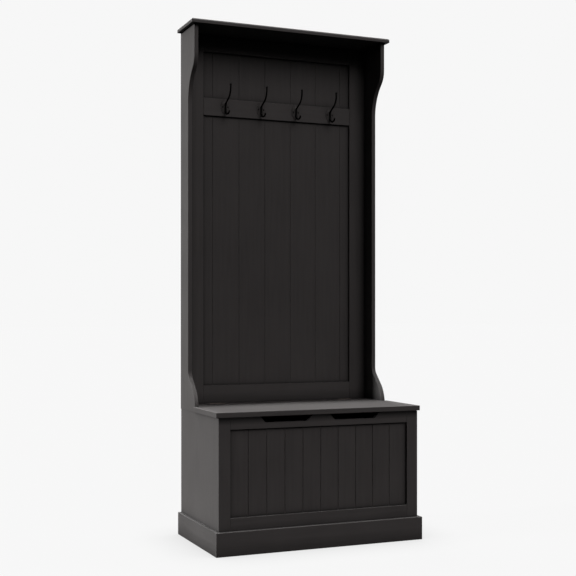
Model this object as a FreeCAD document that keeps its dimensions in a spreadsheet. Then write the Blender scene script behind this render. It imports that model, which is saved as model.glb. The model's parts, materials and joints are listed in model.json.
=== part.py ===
"""Hall tree with hooks: a lidded bench chest under an open coat hutch, painted wood.

Row frame: +X to the user's right, -Y to the front, +Z up, millimetres.  The origin is the
centre of the whole object's footprint, on the floor.  Most positions are given as a depth:
the distance in front of the back plane, which stands at y = (carcass_depth + plinth_front) / 2.
"""
import FreeCAD, Part
import math
import os
import re
import Sketcher

doc = FreeCAD.newDocument("hall_tree")
sheet = doc.addObject("Spreadsheet::Sheet", "sizes")

SIZES = {
    # whole object
    "overall_height": 1850, "carcass_width": 754, "carcass_depth": 414,
    "side_thickness": 15.5, "ease_radius": 1.2, "back_inset": 3,
    # chest
    "chest_height": 459.5, "frame_thickness": 18, "stile_width": 42.5,
    "top_rail_bottom": 419.3, "bottom_rail_top": 124.4, "bottom_rail_bottom": 40,
    "panel_recess": 8.5, "panel_lap": 8, "lap_clearance": 0.5,
    "floor_top": 100, "floor_thickness": 12, "cleat_size": 18,
    "back_panel_thickness": 6, "back_rail_height": 45,
    "plinth_height": 80.7, "plinth_side": 12, "plinth_front": 14, "plinth_round": 1.5,
    "finger_center": 129.5, "finger_top_width": 195, "finger_bottom_width": 157,
    "finger_bottom": 439.5, "finger_round": 5,
    # tongue and groove boards
    "board_thickness": 9, "board_gap": 0.3, "front_bevel": 1.6, "back_bevel": 0.8,
    "tongue_thickness": 3, "tongue_length": 4, "groove_play": 0.2,
    "front_pitch": 67, "back_pitch": 104,
    # seat and lid
    "seat_top": 478, "lid_thickness": 17.5, "lid_width": 771.5, "lid_front": 416.9,
    "lid_side_play": 1.5, "lid_notch_depth": 167.8, "lid_round": 1.2, "bumper_radius": 5,
    "hinge_depth": 57, "seam_gap": 1.6, "hinge_center": 257, "hinge_length": 54,
    "knuckle_radius": 3.2, "knuckle_play": 0.4, "pin_radius": 1.3, "pin_play": 0.05,
    "leaf_thickness": 1.6, "leaf_height": 13, "leaf_step": 3.7,
    # lid stays
    "stay_radius": 140, "lid_pivot_drop": 28, "stud_angle": 50, "stay_length": 240,
    "stay_thickness": 2, "stay_half_width": 7, "stay_play": 0.2, "stay_spacer": 2.2,
    "slot_start": 92, "slot_end": 222, "stud_radius": 2.5, "stud_head_radius": 4.5,
    "stud_head": 1.2, "stud_tail": 10, "slot_play": 0.1, "bracket_length": 44,
    "bracket_width": 18, "bracket_thickness": 2,
    # hutch
    "hutch_width": 757, "wing_depth": 158.8, "narrow_depth": 85.3, "foot_depth": 164.5,
    "wing_slope_top": 1702, "wing_slope_bottom": 1631.5,
    "foot_slope_top": 585.5, "foot_slope_bottom": 509,
    "wing_round": 67, "wing_hollow": 155, "foot_hollow": 38, "foot_round": 110,
    "back_stile_inner": 298, "back_top_rail_bottom": 1772, "back_bottom_rail_top": 543,
    "cornice_thickness": 15.2, "cornice_side": 13.3, "cornice_front": 16.1,
    "cornice_nose": 7, "cornice_lip": 0.6,
    # hooks
    "hook_rail_bottom": 1538.4, "hook_rail_top": 1603.2, "hook_pitch": 142.3, "hook_plate_height": 1573,
    "plate_width": 33, "plate_length": 50, "plate_thickness": 3, "wire_radius": 2.8,
    "stem_offset": 7, "stem_top": 7, "stem_bottom": -12, "neck_bend": 9, "arm_turn": 65,
    "arm_run": 26, "arm_bend": 43, "arm_tip": 8, "ball_radius": 4, "toe_bend": 17, "toe_run": 8,
    "toe_curl": 16, "toe_turn": 60, "hook_screw_offset": 10, "hook_screw_seat": 1.4,
    # fasteners
    "dowel_radius": 3, "dowel_length": 30, "dowel_play": 0.1, "dowel_in_stile": 12,
    "dowel_in_cornice": 10,
    "screw_radius": 1.5, "screw_head_radius": 3, "screw_head": 1.5, "screw_length": 13,
    "hook_screw_length": 14, "hook_screw_head": 1.8, "screw_play": 0.1, "leaf_screw_offset": 17,
}

for row, (alias, number) in enumerate(SIZES.items(), start=1):
    sheet.set(f"A{row}", alias)
    sheet.set(f"B{row}", str(number))
    sheet.setAlias(f"B{row}", alias)
doc.recompute()

LEFT, RIGHT = -1, 1
SIDE_NAMES = {LEFT: "left", RIGHT: "right"}

# Where things are, as expressions of the sheet's cells.
CHEST_INNER = "(carcass_width / 2 - side_thickness)"
HUTCH_INNER = "(hutch_width / 2 - side_thickness)"
HUTCH_OUTER = "(hutch_width / 2)"
STILE_INNER = "(carcass_width / 2 - stile_width)"
FRAME_BACK = "(carcass_depth - frame_thickness)"
BACK_FRAME_FACE = "(back_inset + frame_thickness)"
HUTCH_TOP = "(overall_height - cornice_thickness)"
LID_UNDERSIDE = "(seat_top - lid_thickness)"
FRONT_BOARD_FACE = "(carcass_depth - panel_recess)"
BACK_BOARD_FACE = "(back_inset + frame_thickness - panel_recess + 0.5)"
RAIL_EDGE = "(hinge_depth - seam_gap / 2)"
LID_EDGE = "(hinge_depth + seam_gap / 2)"

TURNS = {
    "+x": FreeCAD.Rotation(FreeCAD.Vector(0, 1, 0), 90),
    "-x": FreeCAD.Rotation(FreeCAD.Vector(0, 1, 0), -90),
    "+y": FreeCAD.Rotation(FreeCAD.Vector(1, 0, 0), -90),
    "-y": FreeCAD.Rotation(FreeCAD.Vector(1, 0, 0), 90),
    "+z": FreeCAD.Rotation(),
    "-z": FreeCAD.Rotation(FreeCAD.Vector(1, 0, 0), 180),
}
nodes = {}


# ---------------------------------------------------------------- helpers

def cells(text):
    """The same expression with each alias written as a cell of the sheet."""
    def prefixed(match):
        word = match.group(0)
        return "sizes." + word if word in SIZES else word
    return re.sub(r"[A-Za-z_]\w*", prefixed, str(text))


def value(text):
    """Number that an expression gives with the sheet's present cells."""
    found = sheet.evalExpression(cells(text))
    return float(getattr(found, "Value", found))


def bind(thing, prop, text):
    thing.setExpression(prop, cells(text))


def y_at(depth):
    """y of the plane that lies this far in front of the back plane."""
    return f"((carcass_depth + plinth_front) / 2 - ({depth}))"


def put(thing, x, depth, z, toward="+z"):
    """Turn a primitive's axis to a direction and bind its base point."""
    thing.Placement = FreeCAD.Placement(FreeCAD.Vector(), TURNS[toward])
    bind(thing, ".Placement.Base.x", x)
    bind(thing, ".Placement.Base.y", y_at(depth))
    bind(thing, ".Placement.Base.z", z)


def fill_box(box, x, depth, z):
    """Bind a box to the space between pairs of x, depth and z."""
    bind(box, "Length", f"({x[1]}) - ({x[0]})")
    bind(box, "Width", f"({depth[1]}) - ({depth[0]})")
    bind(box, "Height", f"({z[1]}) - ({z[0]})")
    put(box, x[0], depth[1], z[0])


def keep(node, thing):
    thing.Label = node
    nodes[node] = thing
    return thing


def slab(node, x, depth, z):
    """Body that starts as one rectangular board."""
    body = keep(node, doc.addObject("PartDesign::Body", node))
    box = body.newObject("PartDesign::AdditiveBox", node + "_blank")
    fill_box(box, x, depth, z)
    return body


def notch(body, name, x, depth, z):
    """Cut a rectangular space out of a body."""
    box = body.newObject("PartDesign::SubtractiveBox", name)
    fill_box(box, x, depth, z)
    return box


def bore(body, name, x, depth, z, toward, radius, length):
    """Drill a round hole that starts at a point and runs in a direction."""
    hole = body.newObject("PartDesign::SubtractiveCylinder", name)
    bind(hole, "Radius", radius)
    bind(hole, "Height", length)
    put(hole, x, depth, z, toward)
    return hole


def ease(body, name, radius, wanted):
    """Round the edges of a body that pass the test."""
    doc.recompute()
    base = body.Tip
    edges = [f"Edge{i}" for i, edge in enumerate(base.Shape.Edges, start=1) if wanted(edge)]
    fillet = body.newObject("PartDesign::Fillet", name)
    fillet.Base = (base, edges)
    bind(fillet, "Radius", radius)
    return fillet


def lies_on(edge, axis, text):
    """True for an edge whose whole length has one coordinate at a value."""
    goal = value(text)
    box = edge.BoundBox
    low, high = {"x": (box.XMin, box.XMax), "y": (box.YMin, box.YMax), "z": (box.ZMin, box.ZMax)}[axis]
    return abs(low - goal) < 0.01 and abs(high - goal) < 0.01


def outline(body, name, role, points, offset):
    """Closed sketch of straight lines, each corner held by two bound dimensions."""
    sketch = body.newObject("Sketcher::SketchObject", name)
    plane = [part for part in body.Origin.OriginFeatures if part.Role == role][0]
    sketch.AttachmentSupport = (plane, "")
    sketch.MapMode = "FlatFace"
    bind(sketch, ".AttachmentOffset.Base.z", offset)
    corners = [FreeCAD.Vector(value(a), value(b), 0) for a, b in points]
    for start, end in zip(corners, corners[1:] + corners[:1]):
        sketch.addGeometry(Part.LineSegment(start, end), False)
    count = len(points)
    for line in range(count):
        sketch.addConstraint(Sketcher.Constraint("Coincident", line, 2, (line + 1) % count, 1))
    for line, (across, up) in enumerate(points):
        for kind, text in (("DistanceX", across), ("DistanceY", up)):
            place = sketch.addConstraint(Sketcher.Constraint(kind, -1, 1, line, 1, value(text)))
            bind(sketch, f"Constraints[{place}]", text)
    return sketch


def pad(body, name, sketch, length, backwards=False):
    feature = body.newObject("PartDesign::Pad", name)
    feature.Profile = sketch
    bind(feature, "Length", length)
    feature.Reversed = backwards
    return feature


def solid(kind, name, **sizes):
    """Part primitive with its sizes bound."""
    thing = doc.addObject("Part::" + kind, name)
    for prop, text in sizes.items():
        bind(thing, prop, text)
    return thing


def joined(name, pieces):
    fuse = doc.addObject("Part::MultiFuse", name)
    fuse.Shapes = pieces
    return fuse


def group(node, pieces):
    """One node that holds several separate solids."""
    compound = keep(node, doc.addObject("Part::Compound", node))
    compound.Links = pieces
    return compound


def mirrored(side, low, high):
    """The pair low..high on the right, or its mirror image on the left."""
    if side == RIGHT:
        return (low, high)
    return (f"-({high})", f"-({low})")


# ---------------------------------------------------------------- boards

def board(node, left, right, face, bevel, bottom, top, first, last):
    """Tongue and groove board, front at depth face, between two heights.

    The first board has no groove or bevel at its left edge, the last one no tongue.
    """
    front = y_at(face)
    rear = f"({front} + board_thickness)"
    middle = f"({front} + board_thickness / 2)"
    edge = f"({right})" if last else f"({right} - board_gap)"
    tongue = "tongue_thickness / 2"
    groove = "(tongue_thickness + groove_play) / 2"
    points = []
    if first:
        points += [(left, front)]
    else:
        inner = f"({left} + tongue_length + 0.5)"
        points += [(left, f"{middle} + {groove}"), (inner, f"{middle} + {groove}"),
                   (inner, f"{middle} - {groove}"), (left, f"{middle} - {groove}"),
                   (left, f"{front} + {bevel}"), (f"({left} + {bevel})", front)]
    if last:
        points += [(edge, front), (edge, rear)]
    else:
        tip = f"({edge} + tongue_length)"
        points += [(f"({edge} - {bevel})", front), (edge, f"{front} + {bevel}"),
                   (edge, f"{middle} - {tongue}"), (tip, f"{middle} - {tongue}"),
                   (tip, f"{middle} + {tongue}"), (edge, f"{middle} + {tongue}"), (edge, rear)]
    points += [(left, rear)]
    body = keep(node, doc.addObject("PartDesign::Body", node))
    profile = outline(body, node + "_profile", "XY_Plane", points, bottom)
    pad(body, node + "_length", profile, f"({top}) - ({bottom})")
    return body


def panel_boards(prefix, count, pitch, half_width, face, bevel, bottom, top):
    """Row of boards whose joints lie at equal pitch about the middle."""
    for number in range(1, count + 1):
        first, last = number == 1, number == count
        left = f"(-({half_width}))" if first else f"(({number - 1 - count / 2}) * {pitch})"
        right = f"({half_width})" if last else f"(({number - count / 2}) * {pitch})"
        board(f"{prefix}_{number:02d}", left, right, face, bevel, bottom, top, first, last)


def front_boards():
    panel_boards("front_board", 10, "front_pitch", f"({STILE_INNER} + panel_lap)", FRONT_BOARD_FACE,
                 "front_bevel", "bottom_rail_top - panel_lap", "top_rail_bottom + panel_lap")


def back_boards():
    panel_boards("back_board", 7, "back_pitch", "(back_stile_inner + panel_lap)", BACK_BOARD_FACE,
                 "back_bevel", "back_bottom_rail_top - panel_lap", "back_top_rail_bottom + panel_lap")


# ---------------------------------------------------------------- frames

def ease_face(body, face_depth):
    """Soften the edges round the front face of a frame member."""
    face = y_at(face_depth)
    ease(body, body.Name + "_ease", "ease_radius", lambda edge: lies_on(edge, "y", face))


def frame(names, inner, outer, back, face, heights, board_face):
    """Two stiles and two rails round a rebate that holds the boards from behind.

    heights: foot of the stiles, foot of the lower rail, top of the lower rail, foot of the
    upper rail, top of both the upper rail and the stiles.
    """
    foot, rail_foot, lower, upper, head = heights
    lap = "(panel_lap + lap_clearance)"
    rebate = (back, board_face)
    low, high = f"{lower} - {lap}", f"{upper} + {lap}"
    for side in (LEFT, RIGHT):
        stile = slab(f"{names}_stile_{SIDE_NAMES[side]}", mirrored(side, inner, outer),
                     (back, face), (foot, head))
        ease_face(stile, face)
        notch(stile, stile.Name + "_rebate", mirrored(side, inner, f"{inner} + {lap}"), rebate, (low, high))
    across = (f"-{inner}", inner)
    top_rail = slab(f"{names}_top_rail", across, (back, face), (upper, head))
    ease_face(top_rail, face)
    notch(top_rail, f"{names}_top_rail_rebate", across, rebate, (upper, high))
    bottom_rail = slab(f"{names}_bottom_rail", across, (back, face), (rail_foot, lower))
    ease_face(bottom_rail, face)
    notch(bottom_rail, f"{names}_bottom_rail_rebate", across, rebate, (low, lower))


def front_frame():
    frame("front", STILE_INNER, "carcass_width / 2", FRAME_BACK, "carcass_depth",
          ("0", "bottom_rail_bottom", "bottom_rail_top", "top_rail_bottom", "chest_height"),
          FRONT_BOARD_FACE)
    for side in (LEFT, RIGHT):
        finger_cutout(nodes["front_top_rail"], side)


def finger_cutout(rail, side):
    """Sloping hand hold cut down into the rail's top edge, under the lid."""
    name = f"finger_cutout_{SIDE_NAMES[side]}"
    center = f"({side} * finger_center)"
    points = [(f"{center} - finger_top_width / 2", "chest_height + 1"),
              (f"{center} - finger_bottom_width / 2", "finger_bottom"),
              (f"{center} + finger_bottom_width / 2", "finger_bottom"),
              (f"{center} + finger_top_width / 2", "chest_height + 1")]
    doc.recompute()
    before = rail.Shape.Volume
    sketch = outline(rail, name + "_shape", "XZ_Plane", points, f"-({y_at('carcass_depth + 1')})")
    pocket = rail.newObject("PartDesign::Pocket", name)
    pocket.Profile = sketch
    bind(pocket, "Length", "frame_thickness + 2")
    doc.recompute()
    if rail.Shape.Volume > before - 1:
        raise RuntimeError(name + " cut nothing")
    bottom = value("finger_bottom")
    middle = value(center)
    reach = value("finger_bottom_width") / 2

    def at_bottom_corner(edge):
        box = edge.BoundBox
        return (abs(box.ZMin - bottom) < 0.01 and abs(box.ZMax - bottom) < 0.01
                and box.XLength < 0.01 and abs(abs(box.XMin - middle) - reach) < 0.01)
    ease(rail, name + "_round", "finger_round", at_bottom_corner)


def back_frame():
    frame("back", "back_stile_inner", HUTCH_INNER, "back_inset", BACK_FRAME_FACE,
          ("seat_top", "seat_top", "back_bottom_rail_top", "back_top_rail_bottom", HUTCH_TOP),
          BACK_BOARD_FACE)


# ---------------------------------------------------------------- chest

def chest_sides():
    for side in (LEFT, RIGHT):
        slab(f"chest_side_{SIDE_NAMES[side]}", mirrored(side, CHEST_INNER, "carcass_width / 2"),
             ("0", FRAME_BACK), ("0", "chest_height"))


def chest_inside():
    """Back panel, floor, the cleats that carry the floor, and the rail behind the seat."""
    across = (f"-{CHEST_INNER}", CHEST_INNER)
    panel_front = "(back_inset + back_panel_thickness)"
    floor_under = "(floor_top - floor_thickness)"
    slab("chest_back_panel", across, ("back_inset", panel_front), ("bottom_rail_bottom", LID_UNDERSIDE))
    slab("chest_back_rail", across, (panel_front, f"{panel_front} + frame_thickness"),
         (f"{LID_UNDERSIDE} - back_rail_height", LID_UNDERSIDE))
    slab("chest_floor_panel", across, (panel_front, FRAME_BACK), (floor_under, "floor_top"))
    height = (f"{floor_under} - cleat_size", floor_under)
    inner = (f"{panel_front} + cleat_size", f"{FRAME_BACK} - cleat_size")
    spaces = [(across, (panel_front, inner[0])), (across, (inner[1], FRAME_BACK))]
    for side in (LEFT, RIGHT):
        spaces.append((mirrored(side, f"{CHEST_INNER} - cleat_size", CHEST_INNER), inner))
    cleats = []
    for number, (x, depth) in enumerate(spaces, start=1):
        cleat = doc.addObject("Part::Box", f"cleat_{number}")
        fill_box(cleat, x, depth, height)
        cleats.append(cleat)
    group("floor_cleats", cleats)


def plinth():
    """Boards round the foot of the chest; the front one covers the ends of the other two."""
    edge = "(carcass_width / 2)"
    outer = f"({edge} + plinth_side)"
    top = "plinth_height"
    front = y_at("carcass_depth + plinth_front")
    board_front = slab("plinth_front", (f"-{outer}", outer),
                       ("carcass_depth", "carcass_depth + plinth_front"), ("0", top))
    ease(board_front, "plinth_front_round", "plinth_round",
         lambda piece: lies_on(piece, "z", top) and (lies_on(piece, "y", front)
                                                     or lies_on(piece, "x", outer)
                                                     or lies_on(piece, "x", f"-{outer}")))
    for side in (LEFT, RIGHT):
        face = f"({side} * {outer})"
        runner = slab(f"plinth_{SIDE_NAMES[side]}", mirrored(side, edge, outer),
                      ("0", "carcass_depth"), ("0", top))
        ease(runner, runner.Name + "_round", "plinth_round",
             lambda piece: lies_on(piece, "z", top) and lies_on(piece, "x", face))


# ---------------------------------------------------------------- seat, lid and hinges

LEAF_SCREW_DROP = "(leaf_height + leaf_step) / 2"


def hinge_pocket(body, side, edge_depth, inward):
    """Shallow mortise for a leaf and a round groove for the knuckles in a seam edge."""
    name = f"{body.Name}_hinge_{SIDE_NAMES[side]}"
    half = "(hinge_length / 2 + 0.2)"
    center = f"({side} * hinge_center)"
    x = (f"{center} - {half}", f"{center} + {half}")
    leaf_back = f"(hinge_depth + ({inward}) * (leaf_thickness + 0.4))"
    depth = (leaf_back, edge_depth) if inward < 0 else (edge_depth, leaf_back)
    notch(body, name + "_mortise", x, depth, ("seat_top - leaf_height - 0.2", "seat_top"))
    bore(body, name + "_groove", x[0], "hinge_depth", "seat_top", "+x",
         "knuckle_radius + knuckle_play", f"2 * {half}")
    for spot in (-1, 1):
        bore(body, f"{name}_pilot_{spot + 2}", f"{center} + {spot} * leaf_screw_offset", leaf_back,
             f"seat_top - {LEAF_SCREW_DROP}", "+y" if inward < 0 else "-y",
             "screw_radius + screw_play", "screw_length")


def seat_rear_rail():
    rail = slab("seat_rear_rail", (f"-{HUTCH_INNER}", HUTCH_INNER), ("back_inset", RAIL_EDGE),
                (LID_UNDERSIDE, "seat_top"))
    for side in (LEFT, RIGHT):
        hinge_pocket(rail, side, RAIL_EDGE, -1)


def seat_lid():
    """Bench seat: narrow behind, where it lies between the hutch feet, full width in front."""
    lid = keep("seat_lid", doc.addObject("PartDesign::Body", "seat_lid"))
    narrow = f"({HUTCH_INNER} - lid_side_play)"
    wide = "(lid_width / 2)"
    rear, step, front = y_at(LID_EDGE), y_at("lid_notch_depth"), y_at("lid_front")
    points = [(f"-{wide}", front), (wide, front), (wide, step), (narrow, step),
              (narrow, rear), (f"-{narrow}", rear), (f"-{narrow}", step), (f"-{wide}", step)]
    shape = outline(lid, "seat_lid_shape", "XY_Plane", points, LID_UNDERSIDE)
    pad(lid, "seat_lid_board", shape, "lid_thickness")

    def outer_edge(edge):
        return lies_on(edge, "y", front) or lies_on(edge, "x", wide) or lies_on(edge, "x", f"-{wide}")
    ease(lid, "seat_lid_round", "lid_round", lambda edge: outer_edge(edge) and edge.BoundBox.ZLength < 0.01)
    for side in (LEFT, RIGHT):
        hinge_pocket(lid, side, LID_EDGE, 1)
        for spot in (-1, 1):
            x, depth = bracket_screw(side, spot)
            bore(lid, f"bracket_pilot_{SIDE_NAMES[side]}_{spot + 2}", x, depth, LID_UNDERSIDE, "+z",
                 "screw_radius + screw_play", "screw_length - bracket_thickness + 0.5")


def lid_bumpers():
    """Thin felt discs on the front corners, which the closed lid rests on."""
    discs = []
    for side in (LEFT, RIGHT):
        disc = solid("Cylinder", f"bumper_{SIDE_NAMES[side]}", Radius="bumper_radius",
                     Height=f"{LID_UNDERSIDE} - chest_height")
        put(disc, f"{side} * (carcass_width / 2 - stile_width / 2)", "carcass_depth - 9", "chest_height")
        discs.append(disc)
    group("lid_bumpers", discs)


def screw(name, x, depth, z, toward, length="screw_length"):
    """Countersunk screw whose head's flat face is at the point."""
    head = solid("Cone", name + "_head", Radius1="screw_head_radius", Radius2="screw_radius",
                 Height="screw_head")
    put(head, x, depth, z, toward)
    shank = solid("Cylinder", name + "_shank", Radius="screw_radius", Height=length)
    put(shank, x, depth, z, toward)
    return joined(name, [head, shank])


def hinge_leaf(side, inward):
    """Leaf with one knuckle. The fixed leaf has the outer knuckle, the lid's leaf the inner one."""
    name = f"leaf_{'rail' if inward < 0 else 'lid'}_{SIDE_NAMES[side]}"
    center = f"({side} * hinge_center)"
    near = f"(hinge_depth + ({inward}) * 0.4)"
    far = f"(hinge_depth + ({inward}) * (leaf_thickness + 0.4))"
    depth = (far, near) if inward < 0 else (near, far)
    start = f"({center} - hinge_length / 2)"
    half = "(hinge_length / 2 - 0.2)"
    own = start if inward * side > 0 else f"({center} + 0.2)"
    plate = doc.addObject("Part::Box", name + "_plate")
    fill_box(plate, (start, f"{start} + hinge_length"), depth,
             ("seat_top - leaf_height", "seat_top - leaf_step"))
    neck = doc.addObject("Part::Box", name + "_neck")
    fill_box(neck, (own, f"{own} + {half}"), depth, ("seat_top - leaf_step - 0.1", "seat_top - 1.6"))
    knuckle = solid("Cylinder", name + "_knuckle", Radius="knuckle_radius", Height=half)
    put(knuckle, own, "hinge_depth", "seat_top", "+x")
    whole = joined(name + "_blank", [plate, neck, knuckle])
    holes = [solid("Cylinder", name + "_eye", Radius="pin_radius + pin_play", Height="hinge_length + 2")]
    put(holes[0], f"{start} - 1", "hinge_depth", "seat_top", "+x")
    for spot in (-1, 1):
        sink = solid("Cone", f"{name}_sink_{spot + 2}", Radius1="screw_head_radius + screw_play",
                     Radius2="screw_radius + screw_play", Height="screw_head")
        through = solid("Cylinder", f"{name}_through_{spot + 2}", Radius="screw_radius + screw_play",
                        Height="leaf_thickness + 1")
        for tool in (sink, through):
            put(tool, f"{center} + {spot} * leaf_screw_offset", near, f"seat_top - {LEAF_SCREW_DROP}",
                "+y" if inward < 0 else "-y")
            holes.append(tool)
    leaf = doc.addObject("Part::Cut", name)
    leaf.Base = whole
    leaf.Tool = joined(name + "_holes", holes)
    return leaf


def hinges():
    """Two butt hinges on the seam between the fixed rail and the lid."""
    for inward, node in ((-1, "hinge_leaves_fixed"), (1, "hinge_leaves_lid")):
        group(node, [hinge_leaf(side, inward) for side in (LEFT, RIGHT)])
    pins = []
    for side in (LEFT, RIGHT):
        pin = solid("Cylinder", f"pin_{SIDE_NAMES[side]}", Radius="pin_radius", Height="hinge_length")
        put(pin, f"{side} * hinge_center - hinge_length / 2", "hinge_depth", "seat_top", "+x")
        pins.append(pin)
    group("hinge_pins", pins)


def leaf_screws(inward):
    screws = []
    for side in (LEFT, RIGHT):
        for spot in (-1, 1):
            name = f"leaf_screw_{'rail' if inward < 0 else 'lid'}_{SIDE_NAMES[side]}_{spot + 2}"
            screws.append(screw(name, f"{side} * hinge_center + {spot} * leaf_screw_offset",
                                f"hinge_depth + ({inward}) * 0.4", f"seat_top - {LEAF_SCREW_DROP}",
                                "+y" if inward < 0 else "-y"))
    return screws


# ---------------------------------------------------------------- lid stays
# The lid pivot and the stud are equally far from the hinge axis, so the slotted arm
# turns by exactly half the lid's angle while the stud slides along its slot.

LID_PIVOT_DEPTH = "(hinge_depth + sqrt(stay_radius ^ 2 - lid_pivot_drop ^ 2))"
LID_PIVOT_Z = "(seat_top - lid_pivot_drop)"
STUD_DEPTH = "(hinge_depth + stay_radius * cos(stud_angle * 1 deg))"
STUD_Z = "(seat_top - stay_radius * sin(stud_angle * 1 deg))"
ARM_CHORD = f"sqrt(({STUD_DEPTH} - {LID_PIVOT_DEPTH}) ^ 2 + ({STUD_Z} - {LID_PIVOT_Z}) ^ 2)"


def from_side(side, distance):
    """x at a distance inward from the chest side's inner face."""
    return f"({side} * ({CHEST_INNER} - ({distance})))"


def inboard(side):
    """Direction of an axis that points from the chest side to the middle."""
    return "-x" if side == RIGHT else "+x"


ARM_START = "(stay_spacer + stay_play)"
ARM_END = f"({ARM_START} + stay_thickness)"
FLANGE_START = f"({ARM_END} + stay_play)"
FLANGE_END = f"({FLANGE_START} + bracket_thickness)"


def bracket_screw(side, spot):
    """x and depth of one of the two screws that hold a bracket under the lid."""
    x = from_side(side, f"{FLANGE_END} + (bracket_width - bracket_thickness) / 2")
    return x, f"{LID_PIVOT_DEPTH} + {spot} * (bracket_length / 2 - 8)"


def arm_point(along, across):
    """Sketch coordinates (y, z) of a point along the arm from its pivot, as it lies closed."""
    run = f"(({STUD_DEPTH} - {LID_PIVOT_DEPTH}) / {ARM_CHORD})"
    rise = f"(({STUD_Z} - {LID_PIVOT_Z}) / {ARM_CHORD})"
    depth = f"{LID_PIVOT_DEPTH} + ({along}) * {run} - ({across}) * {rise}"
    return y_at(depth), f"{LID_PIVOT_Z} + ({along}) * {rise} + ({across}) * {run}"


def stay_arm(side):
    """Flat steel arm with round ends, a pivot hole and a long slot with round ends."""
    name = f"stay_arm_{SIDE_NAMES[side]}"
    arm = keep(name, doc.addObject("PartDesign::Body", name))
    low = min((from_side(side, ARM_START), from_side(side, ARM_END)), key=value)
    half = "stay_half_width"
    tail = "(stay_length - stay_half_width)"
    bar = [arm_point("0", f"-{half}"), arm_point(tail, f"-{half}"), arm_point(tail, half),
           arm_point("0", half)]
    pad(arm, name + "_bar", outline(arm, name + "_bar_shape", "YZ_Plane", bar, low), "stay_thickness")
    for end, along in (("head", "0"), ("tail", tail)):
        disc = arm.newObject("PartDesign::AdditiveCylinder", f"{name}_{end}")
        bind(disc, "Radius", half)
        bind(disc, "Height", "stay_thickness")
        disc.Placement = FreeCAD.Placement(FreeCAD.Vector(), TURNS["+x"])
        y, z = arm_point(along, "0")
        bind(disc, ".Placement.Base.x", low)
        bind(disc, ".Placement.Base.y", y)
        bind(disc, ".Placement.Base.z", z)
    slot_half = "(stud_radius + slot_play)"
    slot = [arm_point("slot_start", f"-{slot_half}"), arm_point("slot_end", f"-{slot_half}"),
            arm_point("slot_end", slot_half), arm_point("slot_start", slot_half)]
    sketch = outline(arm, name + "_slot_shape", "YZ_Plane", slot, low)
    pocket = arm.newObject("PartDesign::Pocket", name + "_slot")
    pocket.Profile = sketch
    pocket.Reversed = True
    bind(pocket, "Length", "stay_thickness")
    holes = (("eye", "0", "(stud_radius + pin_play)"), ("slot_top", "slot_start", slot_half),
             ("slot_foot", "slot_end", slot_half))
    for hole, along, radius in holes:
        drill = arm.newObject("PartDesign::SubtractiveCylinder", f"{name}_{hole}")
        bind(drill, "Radius", radius)
        bind(drill, "Height", "stay_thickness + 2")
        drill.Placement = FreeCAD.Placement(FreeCAD.Vector(), TURNS["+x"])
        y, z = arm_point(along, "0")
        bind(drill, ".Placement.Base.x", f"{low} - 1")
        bind(drill, ".Placement.Base.y", y)
        bind(drill, ".Placement.Base.z", z)


def stay_bracket(side):
    """Angle bracket: a plate under the lid and a flange that hangs down beside the arm."""
    name = f"bracket_{SIDE_NAMES[side]}"
    near = from_side(side, FLANGE_START)
    flange_x = sorted((near, from_side(side, FLANGE_END)), key=value)
    plate_x = sorted((near, from_side(side, f"{FLANGE_START} + bracket_width")), key=value)
    plate = doc.addObject("Part::Box", name + "_plate")
    half = "(bracket_length / 2)"
    fill_box(plate, plate_x, (f"{LID_PIVOT_DEPTH} - {half}", f"{LID_PIVOT_DEPTH} + {half}"),
             (f"{LID_UNDERSIDE} - bracket_thickness", LID_UNDERSIDE))
    flange = doc.addObject("Part::Box", name + "_flange")
    flange_depth = (f"{LID_PIVOT_DEPTH} - stay_half_width", f"{LID_PIVOT_DEPTH} + stay_half_width")
    fill_box(flange, flange_x, flange_depth, (LID_PIVOT_Z, LID_UNDERSIDE))
    lobe = solid("Cylinder", name + "_lobe", Radius="stay_half_width", Height="bracket_thickness")
    put(lobe, flange_x[0], LID_PIVOT_DEPTH, LID_PIVOT_Z, "+x")
    whole = joined(name + "_blank", [plate, flange, lobe])
    eye = solid("Cylinder", name + "_eye", Radius="stud_radius + pin_play", Height="bracket_thickness + 2")
    put(eye, f"{flange_x[0]} - 1", LID_PIVOT_DEPTH, LID_PIVOT_Z, "+x")
    holes = [eye]
    for spot in (-1, 1):
        x, depth = bracket_screw(side, spot)
        sink = solid("Cone", f"{name}_sink_{spot + 2}", Radius1="screw_head_radius + screw_play",
                     Radius2="screw_radius + screw_play", Height="screw_head")
        through = solid("Cylinder", f"{name}_through_{spot + 2}", Radius="screw_radius + screw_play",
                        Height="bracket_thickness + 1")
        for tool in (sink, through):
            put(tool, x, depth, f"{LID_UNDERSIDE} - bracket_thickness", "+z")
            holes.append(tool)
    bracket = doc.addObject("Part::Cut", name)
    bracket.Base = whole
    bracket.Tool = joined(name + "_holes", holes)
    return bracket


def headed_pin(name, side, depth, z, parts):
    """Stack of discs along x, each (start, end, radius) measured inward from the chest side."""
    discs = []
    for number, (start, end, radius) in enumerate(parts, start=1):
        disc = solid("Cylinder", f"{name}_{number}", Radius=radius, Height=f"({end}) - ({start})")
        put(disc, from_side(side, start), depth, z, inboard(side))
        discs.append(disc)
    return joined(name, discs)


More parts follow.
